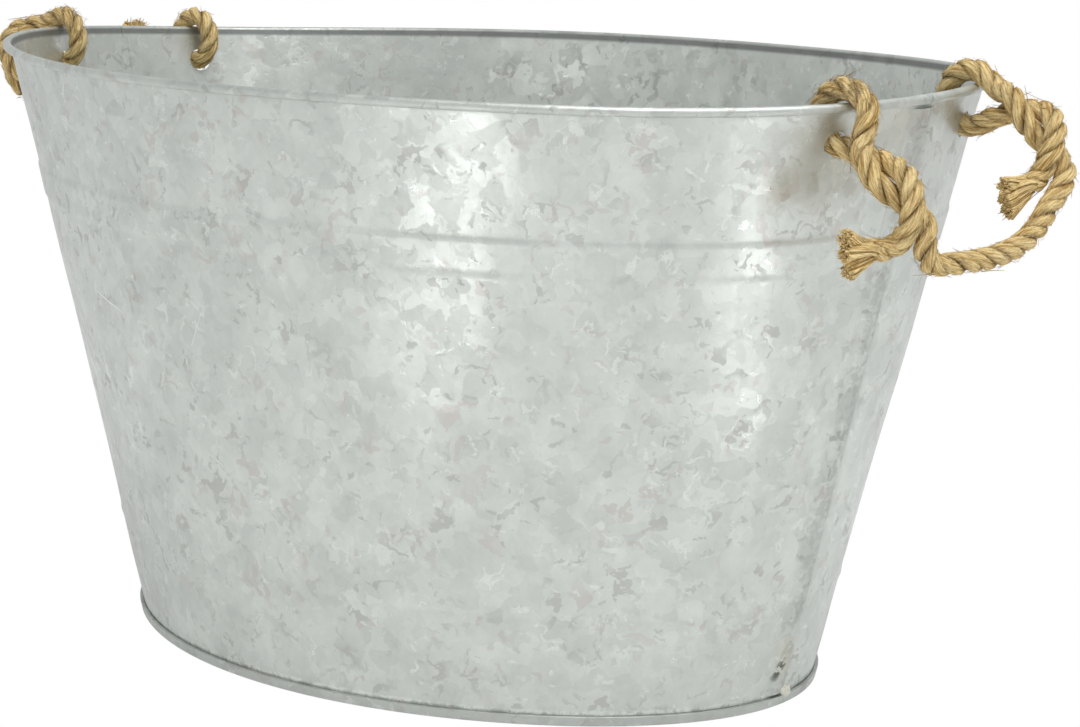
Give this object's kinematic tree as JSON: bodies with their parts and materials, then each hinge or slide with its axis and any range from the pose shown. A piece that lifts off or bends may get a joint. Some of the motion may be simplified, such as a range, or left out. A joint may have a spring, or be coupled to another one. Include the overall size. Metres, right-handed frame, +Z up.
{
  "type": "beverage tub",
  "caption": "Oval galvanised sheet-metal tub for drinks, with a rolled wired rim, lock-seamed ends, a seamed-in base and a twisted rope handle at each end.",
  "frame": {"origin": "middle of the foot, at the level the tub stands on", "axes": "+Z up, X along the long axis of the oval, with the right-hand handle of the picture at +X, and -Y the side seen in the picture"},
  "size_m": [0.6479, 0.391, 0.3103],
  "materials": {
    "zinc_sheet": "galvanised, matt with a leaf-like spangle",
    "steel_wire": "drawn wire",
    "sisal_rope": "three-strand natural fibre, hairy",
    "sealant": "dried smear"
  },
  "bodies": {
    "tub": {"front_panel": "zinc_sheet", "back_panel": "zinc_sheet", "base_panel": "zinc_sheet", "rim_wire": "steel_wire", "sealant_dab": "sealant"},
    "right_handle": {"handle_right": "sisal_rope"},
    "left_handle": {"handle_left": "sisal_rope"}
  },
  "joints": [
    {"name": "right_handle_swing", "type": "hinge", "parent": "tub", "child": "right_handle", "pos_m": [0.26624, 0, 0.29072], "axis": [0, -0.9996, -0.0279], "range_deg": [0, 110]},
    {"name": "left_handle_swing", "type": "hinge", "parent": "tub", "child": "left_handle", "pos_m": [-0.26624, 0, 0.29072], "axis": [0, 0.9991, -0.0422], "range_deg": [0, 110]}
  ]
}
